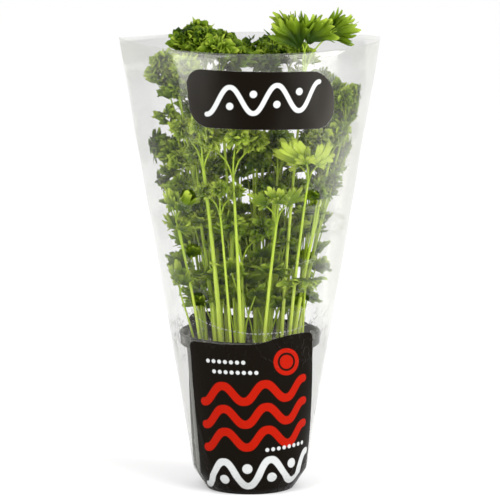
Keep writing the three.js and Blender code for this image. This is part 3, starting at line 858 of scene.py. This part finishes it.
def spin_profile(points, steps):
    mesh = bmesh.new()
    verts = [mesh.verts.new((radius, 0, z)) for radius, z in points]
    edges = [mesh.edges.new(pair) for pair in zip(verts, verts[1:])]
    bmesh.ops.spin(
        mesh, geom=verts + edges, cent=(0, 0, 0), axis=(0, 0, 1), dvec=(0, 0, 0), angle=2 * pi, steps=steps,
        use_merge=True, use_duplicate=False,
    )
    bmesh.ops.remove_doubles(mesh, verts=mesh.verts, dist=WELD)
    return mesh


def build_pot(material):
    mesh = spin_profile(pot_profile(), POT_STEPS)
    turns = [2 * pi * i / DRAINS["count"] for i in range(DRAINS["count"])]
    spots = [Vector((cos(turn), sin(turn), 0)) * DRAINS["circle"] for turn in turns]
    punch(mesh, [(spot, UP) for spot in spots], DRAINS["radius"])
    thicken(mesh, POT["wall"])
    return finish_piece(mesh, "fine_pot", material, ["pot"])


def pot_finish(settings):
    finish = Finish("pot_plastic")
    grain = finish.noise(1400, 3)
    scuff = finish.noise(60, 4, (1, 1, 0.4))
    dust = scuff.ramp(0.55, 0.8)
    base = finish.blend(dust * 0.25, tuple(settings.plastic), rgb(70, 64, 56))
    bump = finish.bump(grain, 0.0001, 0.12)
    return finish.close(finish.principled(
        base_color=base, roughness=0.34 + grain * 0.12, specular_ior_level=0.26, normal=bump
    ))


# Soil
CRUMBS = {"count": 150, "radius": (0.6, 2.0), "seed": 7, "lift": 0.2, "flattened": (1, 0.7, 0.5, 1)}


def soil_top(x, y):
    """The soil's height: the frame's waves with crumble over them."""
    waves = sin(x * 0.31 + 1) * cos(y * 0.27) + 0.6 * sin(x * 0.63 - y * 0.55)
    crumble = noise.noise(Vector((x, y, 0)) * 0.5) + 0.5 * noise.noise(Vector((x, y, 5)) * 1.3)
    return SOIL["height"] + SOIL["lump"] * (waves + 0.8 * crumble)


def soil_point(across, along):
    """A point of the soil's skin: its top from the middle to the rim, its side, then its floor."""
    rim, top_share = SOIL["rim_radius"], SOIL["top_share"]
    floor = POT["stand"] + POT["recess"] + POT["wall"] + SOIL["gap"]
    foot = POT["foot_radius"] - POT["wall"] - SOIL["inset"]
    angle = 2 * pi * across
    if along < top_share:
        radius = rim * along / top_share
        x, y = radius * cos(angle), radius * sin(angle)
        return Vector((x, y, soil_top(x, y)))
    if along < 0.99:
        share = (along - top_share) / (1 - top_share)
        radius = mix(rim, foot, share)
        z = mix(SOIL["height"] - SOIL["brink"], floor, share)
        return Vector((radius * cos(angle), radius * sin(angle), z))
    return Vector((0, 0, floor))


def add_crumb(mesh, draw):
    angle = 2 * pi * draw()
    radius = (SOIL["rim_radius"] - 1) * sqrt(draw())
    x, y = radius * cos(angle), radius * sin(angle)
    size = draw.between(CRUMBS["radius"])
    turned = Matrix.Rotation(pi * draw(), 4, "X") @ Matrix.Rotation(pi * draw(), 4, "Y")
    spot = Matrix.Translation((x, y, soil_top(x, y) + CRUMBS["lift"] * size))
    shape = spot @ turned @ Matrix.Diagonal(CRUMBS["flattened"])
    bmesh.ops.create_icosphere(mesh, subdivisions=1, radius=size, matrix=shape)


def build_soil(material):
    mesh = shaped_grid(72, 36, soil_point)
    draw = Draws(CRUMBS["seed"])
    for _ in range(CRUMBS["count"]):
        add_crumb(mesh, draw)
    bmesh.ops.recalc_face_normals(mesh, faces=mesh.faces)
    return finish_piece(mesh, "fine_soil", material, ["soil"])


def soil_finish(settings):
    finish = Finish("soil")
    clod = finish.noise(260, 5)
    fibre = finish.noise(900, 3, (1, 0.3, 1))
    brown = finish.blend(clod.ramp(0.35, 0.65), rgb(24, 18, 14), tuple(settings.earth))
    base = finish.blend(fibre.ramp(0.66, 0.74) * 0.6, brown, rgb(106, 85, 59))
    bump = finish.bump(clod + fibre * 0.4, 0.0012, 0.9)
    return finish.close(finish.principled(base_color=base, roughness=0.85 + clod * 0.1, normal=bump))


# Sleeve
# The print's square for each panel is this wide and high, and its map has these steps and levels.
PANEL = 340
PANEL_STEPS = 180
PANEL_LEVEL = 10
WRINKLES = {"ripple": 0.35, "fold": 0.9, "crinkle": 0.5}


def sleeve_outline(z, angle):
    """A point of the film's section at a height: the panels meet at angles of 0 and half a turn."""
    a, b, left, right = section_at(z)
    along, across = cos(angle), sin(angle)
    bulge = max(0, 1 - along**2) ** (left if along < 0 else right)
    return a * along, b * bulge * (1 if across > 0 else -1 if across < 0 else 0)


def creases(x, y, z, angle):
    """How far the film stands in from its even shape: long ripples, folds over the collar and fine
    crinkles at the foot."""
    free = smooth_step((z - 112) / 60)
    ripple = WRINKLES["ripple"] * free * sin(9 * angle + 2 * sin(z / 46)) * sin(z / 31 + 3 * cos(angle))
    fold = WRINKLES["fold"] * exp(-(((z - 118) / 16) ** 2)) * max(0, sin(14 * angle + z / 9))
    drift = noise.noise(Vector((x, y, z * 0.5)) * 0.07)
    foot = WRINKLES["crinkle"] * (1 - smooth_step(z / 22)) * abs(sin(17 * angle + 2 * sin(z / 3)))
    return ripple + fold + foot + 0.5 * free * drift


def sleeve_point(across, along):
    """A point of the film: the foot's underside from its middle outwards, then the wall up to the rim."""
    base_share = SLEEVE["base_share"]
    angle = 2 * pi * across
    if along < base_share:
        x, y = sleeve_outline(0, angle)
        share = along / base_share
        return Vector((x * share, y * share, SLEEVE["base_lift"] * (1 - share)))
    share = (along - base_share) / (1 - base_share)
    top = SECTIONS[-1]["z"]
    z = top * share ** SLEEVE["crowding"]
    x, y = sleeve_outline(z, angle)
    inward = 1 - creases(x, y, z, angle) / hypot(x, y) if 0 < z else 1
    depth = SLEEVE["dip_depth"]
    dip = SLEEVE["dip"] * smooth_step((z - top + depth) / depth) * abs(sin(angle))
    return Vector((x * inward, y * inward, z - dip))


def panel_maps():
    """Arc lengths from the middle of a panel at each step of the angle, level by level."""
    maps = []
    for level in range(0, PANEL, PANEL_LEVEL):
        points = [Vector(sleeve_outline(level, pi * k / PANEL_STEPS)) for k in range(PANEL_STEPS + 1)]
        lengths = [0]
        for one, two in zip(points, points[1:]):
            lengths.append(lengths[-1] + (two - one).length)
        middle = lengths[PANEL_STEPS // 2]
        maps.append([length - middle for length in lengths])
    return maps


def arc_at(maps, z, angle):
    """How far to the right of its panel's middle a point of the film lies, seen from outside."""
    level = min(max(z / PANEL_LEVEL, 0), len(maps) - 1.001)
    low = int(level)
    turn = (angle % pi) / pi * PANEL_STEPS
    i = min(int(turn), PANEL_STEPS - 1)

    def on(arcs):
        return mix(arcs[i], arcs[i + 1], turn - i)

    return mix(on(maps[low]), on(maps[low + 1]), level - low)


def map_panels(mesh):
    """Lays the front panel's map in the left half of the UV square and the back panel's in the right one."""
    layer = mesh.loops.layers.uv["UVMap"]
    maps = panel_maps()
    for face in mesh.faces:
        back = face.calc_center_median().x < 0
        for loop in face.loops:
            across, along = loop.vert.co.x + 0.5, loop.vert.co.y + 0.5
            z = sleeve_point(across, along).z
            angle = 2 * pi * across
            # A face that ends at a seam keeps to its own panel there.
            at_end = abs(angle - (pi if back else 2 * pi)) < 1e-6
            arc = arc_at(maps, z, pi - 1e-9 if at_end else angle % pi)
            u = 0.25 + arc / (2 * PANEL) + (0.5 if back else 0)
            loop[layer].uv = (u, z / PANEL)


def vent_holes():
    """The middles of the vents, each with the way that it faces."""
    return [
        (Vector((side * section_at(z)[0] * VENTS["reach"], 0, z)), Vector((0, facing, 0)))
        for z in VENTS["heights"]
        for side in (-1, 1)
        for facing in (-1, 1)
    ]


def build_sleeve(material):
    mesh = new_grid(SLEEVE["around"], SLEEVE["levels"])
    map_panels(mesh)
    for vert in mesh.verts:
        vert.co = sleeve_point(vert.co.x + 0.5, vert.co.y + 0.5)
    bmesh.ops.remove_doubles(mesh, verts=mesh.verts, dist=WELD)
    punch(mesh, vent_holes(), VENTS["radius"])
    thicken(mesh, SLEEVE["film"])
    return finish_piece(mesh, "fine_sleeve", material, ["sleeve"])


# Print
# How soft the print's edges are, and all other sizes of it, in millimetres on the flat film.
EDGE = 0.35
SIGN = {
    "middle": (10.6, 287.4), "half": (54.8, 20.6), "left_radius": 13, "right_radius": 18, "lean": 0.12,
    "tilt": 0.02, "slope": 0.04, "lift": 1,
}
LABEL = {
    "half": 49, "aside": 1, "shift": 7, "top": 112.6, "step": 6.4,
    "rise": (-4, 34), "bottom": -6, "radius": 5,
    "slope": 0.06,
}
# The line of cuts along which the sleeve is torn open.
TEAR = {"height": 120.3, "lowest": 10, "rise": 0.00366, "pitch": 3, "dash": 0.6, "half": 0.3, "end": 50}
# Each wave's height, pitch and half width, and the radius of its dots where it has them.
SIGN_WAVE = (9.5, 33, 1.7, 2.6)
FOOT_WAVE = (9.5, 34.4, 2.6, 3.6)
RED_WAVE = (6, 31, 3)
FOOT_HEIGHT = 17
RED_WAVES = {"height": 60, "apart": 17}
MEDAL = {"middle": (25, 99), "radius": 10, "ring": 6, "half": 0.8}
DOTS = {"pitch": 4.4, "radius": 1.45}
# The rows of dots: their height on the label, and their middle and half length, counted in dots.
UPPER_ROWS = [(99.5, -4.5, 3.5), (92, -3, 4)]
LOWER_ROW = (34, 5, 4)
DOT_DEPTH = 0.42


def inside_box(x, z, half_x, half_z, radius):
    """1 within a box with round corners and 0 outside it."""
    out_x = (abs(x) - (half_x - radius)).most(0)
    out_z = (abs(z) - (half_z - radius)).most(0)
    distance = (out_x * out_x + out_z * out_z).root() - radius
    return 1 - distance.ramp(-EDGE, EDGE)


def wave_line(x, z, height, pitch, phase, width):
    """1 on a line of even width that runs as a wave about z = 0."""
    turn = x * (2 * pi / pitch) + phase
    slope = turn.cosine() * (height * 2 * pi / pitch)
    distance = abs(z - turn.sine() * height) / (slope * slope + 1).root()
    return 1 - distance.ramp(width - EDGE, width + EDGE)


def ring(x, z, radius, width):
    distance = abs((x * x + z * z).root() - radius)
    return 1 - distance.ramp(width - EDGE, width + EDGE)


def disc(x, z, radius):
    return 1 - (x * x + z * z).root().ramp(radius - EDGE, radius + EDGE)


def band(x, z, height, pitch, width):
    """Two and a half waves of a line, from a trough to a crest, with round ends."""
    end = 1.25 * pitch
    side = (x > 0) * 2 - 1
    line = wave_line(x, z, height, pitch, 0, width) * (abs(x) < end)
    return line.most(disc(abs(x) - end, z - side * height, width))


def dotted_band(x, z, height, pitch, width, dot):
    """A band with a round dot under each inner crest and over each inner trough."""
    crest = ((x * (2 * pi / pitch)).sine() > 0) * 2 - 1
    near = ((x / (pitch / 2)).fraction() - 0.5) * (pitch / 2)
    dots = disc(near, z + crest * (DOT_DEPTH * height), dot) * (abs(x) < pitch)
    return band(x, z, height, pitch, width).most(dots)


def dot_row(x, z, middle, half):
    """A row of round dots, from middle less half to middle plus half, counted in dots."""
    pitch = DOTS["pitch"]
    near = ((x / pitch).fraction() - 0.5) * pitch
    held = abs(x - middle * pitch) < half * pitch
    return disc(near, z, DOTS["radius"]) * held


def sign_print(x, z):
    """The upper sign's shape and the white wave on it."""
    x, z = x - SIGN["middle"][0], z - SIGN["middle"][1]
    radius = (x > 0) * (SIGN["right_radius"] - SIGN["left_radius"]) + SIGN["left_radius"]
    leaned = x + z * SIGN["lean"]
    sign = inside_box(leaned, z + leaned * SIGN["tilt"], *SIGN["half"], radius)
    return sign, dotted_band(x, z - x * SIGN["slope"] - SIGN["lift"], *SIGN_WAVE)


def label_print(x, z):
    """The lower label's shape, with the red marks and the white marks on it."""
    down = ((LABEL["top"] - z) * (1 / LABEL["top"])).most(0)
    x = x - LABEL["aside"] - down * LABEL["shift"]
    top = LABEL["top"] + x.ramp(*LABEL["rise"]) * LABEL["step"]
    middle = (top + LABEL["bottom"]) * 0.5
    label = inside_box(x, z - middle, LABEL["half"], (top - LABEL["bottom"]) * 0.5, LABEL["radius"])
    sloped = z - x * LABEL["slope"]
    medal_x, medal_z = x - MEDAL["middle"][0], z - MEDAL["middle"][1]
    red = disc(medal_x, medal_z, MEDAL["radius"]) - ring(medal_x, medal_z, MEDAL["ring"], MEDAL["half"])
    for step in (-1, 0, 1):
        red = red.most(band(x, sloped - RED_WAVES["height"] + step * RED_WAVES["apart"], *RED_WAVE))
    white = dotted_band(x, sloped - FOOT_HEIGHT, *FOOT_WAVE)
    for height, centre, half in UPPER_ROWS:
        white = white.most(dot_row(x, z - height, centre, half))
    height, centre, half = LOWER_ROW
    return label, red, white.most(dot_row(x, sloped - height, centre, half))


def tear_line(x, z):
    """1 on the dashes of the line of cuts, which hangs down in the middle of a panel."""
    aside = x - TEAR["lowest"]
    height = aside * aside * TEAR["rise"] + TEAR["height"]
    dash = (x / TEAR["pitch"]).fraction() < TEAR["dash"]
    return (abs(z - height) < TEAR["half"]) * dash * (abs(x) < TEAR["end"])


def sleeve_print(finish, settings):
    """The print's colour and cover over the film: a sign on the front panel and a label on both panels."""
    flat = finish.axes(finish.node("ShaderNodeUVMap", {"uv_map": "UVMap"}).outputs["UV"])
    x = ((flat[0] * 2).fraction() - 0.5) * PANEL
    z = flat[1] * PANEL
    sign, sign_white = sign_print(x, z)
    sign = sign * (flat[0] < 0.5)
    label, red, white = label_print(x, z)
    dashes = tear_line(x, z)
    ink = finish.blend(red * label, tuple(settings.black), tuple(settings.red))
    pale = (sign_white * sign).most(white * label).most(dashes)
    return finish.blend(pale, ink, tuple(settings.white)), sign.most(label).most(dashes * 0.6)


# Film
# Where the film changes, in metres: at the collar, the foot, the low part, the brim and the sign, where a
# sheen is painted on the ink, and the band at the right where a reflection is painted.
ZONES = {
    "collar": (0.088, 0.1, 0.112, 0.135), "foot": (0.012, 0.03), "low": (0.09, 0.13), "brim": (0.28, 0.315),
    "sign": (0.2, 0.26), "right": (0.03, 0.062), "painted_reflection": (0.1, 0.15, 0.24, 0.3),
}
# How much each of them hides what is behind, makes the film paler and stands out of it. The paleness
# of the band at the right is a painted reflection, and that of the sign's ink is a painted sheen.
VEIL = {"turned": 0.28, "streak": 0.03, "low": 0.04, "ridge": 0.2, "painted_reflection": 0.1, "brim": 0.09}
PALENESS = {"turned": 2, "painted_reflection": 0.6, "brim": 0.4, "painted_sheen": 0.85}
RELIEF = {"fine": 0.1, "ridge": 0.7, "crease": 0.5, "distance": 0.0015, "strength": 0.35}
MOST_TURNED = 0.6
# How strong the painted reflection band at the right is.
PAINTED_REFLECTION_GAIN = 2.6


def within(value, start, full, fade, end):
    return value.ramp(start, full) * (1 - value.ramp(fade, end))


def thin_lines(finish, scale, detail, stretch, bounds):
    """1 on the crooked lines along which a noise is at its middle."""
    return 1 - abs(finish.noise(scale, detail, stretch) - 0.5).ramp(*bounds)


def film_finish(settings):
    finish = Finish("sleeve_film")
    ink, cover = sleeve_print(finish, settings)
    facing = Value(finish, finish.node("ShaderNodeLayerWeight", inputs={"Blend": 0.5}).outputs["Facing"])
    turned = facing.least(MOST_TURNED)
    across, _, height = finish.axes(finish.place())
    streak = finish.noise(70, 3, (1, 1, 0.05)).ramp(0.5, 0.8)
    tight = within(height, *ZONES["collar"]) + (1 - height.ramp(*ZONES["foot"]))
    ridge = thin_lines(finish, 75, 3, (1, 1, 0.7), (0.004, 0.03)) * tight
    low = 1 - height.ramp(*ZONES["low"])
    crease = thin_lines(finish, 24, 1, (1, 1, 0.45), (0, 0.05)) * low
    brim = height.ramp(*ZONES["brim"])
    # A painted reflection: a band on the film's right side, strongest where the film turns away, is painted
    # paler and hides more of what is behind.
    painted_reflection = across.ramp(*ZONES["right"]) * within(height, *ZONES["painted_reflection"]) * turned * PAINTED_REFLECTION_GAIN
    # A painted sheen: the sign's ink is painted paler where the film turns away, in place of a reflection.
    painted_sheen = turned * turned * height.ramp(*ZONES["sign"])

    one_side = 1 - sqrt(1 - settings.haze)
    haze = turned * turned * VEIL["turned"] + one_side + streak * VEIL["streak"] + low * VEIL["low"]
    haze = haze + ridge * VEIL["ridge"] + painted_reflection * VEIL["painted_reflection"] + brim * VEIL["brim"]
    pale = turned * turned * PALENESS["turned"] + painted_reflection * PALENESS["painted_reflection"] + brim * PALENESS["brim"]
    film = finish.blend(pale.least(1), tuple(settings.film), rgb(222, 222, 214))
    # The ink with its painted sheen blended over it.
    ink_with_painted_sheen = finish.blend(painted_sheen * PALENESS["painted_sheen"], ink, rgb(216, 212, 202))
    ripple = finish.noise(34, 2, (1, 1, 0.25))
    fine = finish.noise(160, 2, (1, 1, 0.5))
    relief = ripple + fine * RELIEF["fine"] + ridge * RELIEF["ridge"] + crease * RELIEF["crease"]
    shader = finish.principled(
        base_color=finish.blend(cover, film, ink_with_painted_sheen),
        metallic=1 - cover,
        roughness=0.1 + cover * 0.06,
        alpha=haze.most(cover).least(1),
        specular_ior_level=0.04,
        normal=finish.bump(relief, RELIEF["distance"], RELIEF["strength"]),
    )
    return finish.close(shader)


# Stage
CAMERA = {"distance": 3.0, "pitch": 9.5, "target": 0.1716, "lens": 302.5}
# The floor is a little darker close to the object, where the lights are near, so that it looks even.
FLOOR = {"size": 12, "near": rgb(230, 230, 230), "far": rgb(254, 254, 254), "fade": (0, 1.2)}
# The softboxes' powers are for the left (-1) and the right (1).
SOFTBOX = {"size": (0.76, 1.0), "distance": 0.85, "turn": 51, "height": 0.48, "powers": {-1: 8.5, 1: 13}}


def make_camera():
    data = bpy.data.cameras.new("camera")
    data.lens = CAMERA["lens"]
    camera = bpy.data.objects.new("camera", data)
    pitch = radians(CAMERA["pitch"])
    distance = CAMERA["distance"]
    camera.location = (0, -distance * cos(pitch), CAMERA["target"] + distance * sin(pitch))
    camera.rotation_euler = (pi / 2 - pitch, 0, 0)
    bpy.context.scene.collection.objects.link(camera)
    bpy.context.scene.camera = camera


def make_floor():
    mesh = bmesh.new()
    bmesh.ops.create_grid(mesh, x_segments=1, y_segments=1, size=FLOOR["size"] / 2)
    data = bpy.data.meshes.new("floor")
    mesh.to_mesh(data)
    mesh.free()
    finish = Finish("floor")
    x, y, _ = finish.axes(finish.place())
    far = (x * x + y * y).root().ramp(*FLOOR["fade"])
    base = finish.blend(far, FLOOR["near"], FLOOR["far"])
    data.materials.append(finish.close(finish.principled(base_color=base, roughness=0.7)))
    floor = bpy.data.objects.new("floor", data)
    bpy.context.scene.collection.objects.link(floor)


def make_softbox(side):
    data = bpy.data.lights.new(f"softbox_{'left' if side < 0 else 'right'}", "AREA")
    data.shape = "RECTANGLE"
    data.size, data.size_y = SOFTBOX["size"]
    data.energy = SOFTBOX["powers"][side]
    lamp = bpy.data.objects.new(data.name, data)
    turn = radians(SOFTBOX["turn"]) * side
    place = Vector((sin(turn), -cos(turn), 0)) * SOFTBOX["distance"] + UP * SOFTBOX["height"]
    lamp.location = place
    lamp.rotation_euler = (Vector((0, 0, CAMERA["target"])) - place).to_track_quat("-Z", "Y").to_euler()
    bpy.context.scene.collection.objects.link(lamp)


def make_world():
    world = bpy.data.worlds.new("studio")
    world.use_nodes = True
    background = world.node_tree.nodes["Background"]
    background.inputs["Color"].default_value = (1, 1, 1, 1)
    background.inputs["Strength"].default_value = 1.0
    bpy.context.scene.world = world
    bpy.context.scene.view_settings.view_transform = "Standard"


# Operators
class ParsleyBuildPot(bpy.types.Operator):
    """Build the nursery pot"""

    bl_idname = "parsley.build_pot"
    bl_label = "Pot"

    def execute(self, context):
        build_pot(pot_finish(context.scene.parsley_pot))
        return {"FINISHED"}


class ParsleyBuildSoil(bpy.types.Operator):
    """Build the soil with its crumbs"""

    bl_idname = "parsley.build_soil"
    bl_label = "Soil"

    def execute(self, context):
        build_soil(soil_finish(context.scene.parsley_pot))
        return {"FINISHED"}


class ParsleyBuildFronds(bpy.types.Operator):
    """Build the leafy stems"""

    bl_idname = "parsley.build_fronds"
    bl_label = "Fronds"

    def execute(self, context):
        settings = context.scene.parsley_leaf
        thickness = settings.thickness / MM
        templates = {
            kind: [leaf_template(kind, seed, thickness) for seed in range(VARIANTS)] for kind in LEAF_KINDS
        }
        material = parsley_finish(settings)
        for number, one in enumerate(planted_fronds(), 1):
            build_frond(one, number, templates, material)
        return {"FINISHED"}


class ParsleyBuildSleeve(bpy.types.Operator):
    """Build the printed film sleeve"""

    bl_idname = "parsley.build_sleeve"
    bl_label = "Sleeve"

    def execute(self, context):
        build_sleeve(film_finish(context.scene.parsley_sleeve))
        return {"FINISHED"}


class ParsleyBuildStage(bpy.types.Operator):
    """Set up the floor, the lights and the camera"""

    bl_idname = "parsley.build_stage"
    bl_label = "Stage"

    def execute(self, context):
        make_world()
        make_floor()
        for side in (-1, 1):
            make_softbox(side)
        make_camera()
        return {"FINISHED"}


OPERATORS = (ParsleyBuildPot, ParsleyBuildSoil, ParsleyBuildFronds, ParsleyBuildSleeve, ParsleyBuildStage)


class ParsleyPanel(bpy.types.Panel):
    bl_idname = "VIEW3D_PT_parsley"
    bl_label = "Potted parsley"
    bl_space_type = "VIEW_3D"
    bl_region_type = "UI"
    bl_category = "Parsley"

    def draw(self, context):
        for operator in OPERATORS:
            self.layout.operator(operator.bl_idname)
        for group in SETTINGS:
            settings = getattr(context.scene, group)
            for name in settings.__annotations__:
                self.layout.prop(settings, name)


SETTINGS = {
    "parsley_leaf": ParsleyLeafSettings,
    "parsley_pot": ParsleyPotSettings,
    "parsley_sleeve": ParsleySleeveSettings,
}
CLASSES = (*SETTINGS.values(), *OPERATORS, ParsleyPanel)


def register():
    for one in CLASSES:
        bpy.utils.register_class(one)
    for name, group in SETTINGS.items():
        setattr(bpy.types.Scene, name, bpy.props.PointerProperty(type=group))


def unregister():
    for name in SETTINGS:
        delattr(bpy.types.Scene, name)
    for one in reversed(CLASSES):
        bpy.utils.unregister_class(one)


def main():
    register()
    bpy.ops.parsley.build_pot()
    bpy.ops.parsley.build_soil()
    bpy.ops.parsley.build_fronds()
    bpy.ops.parsley.build_sleeve()
    bpy.ops.parsley.build_stage()


if __name__ == "__main__":
    main()
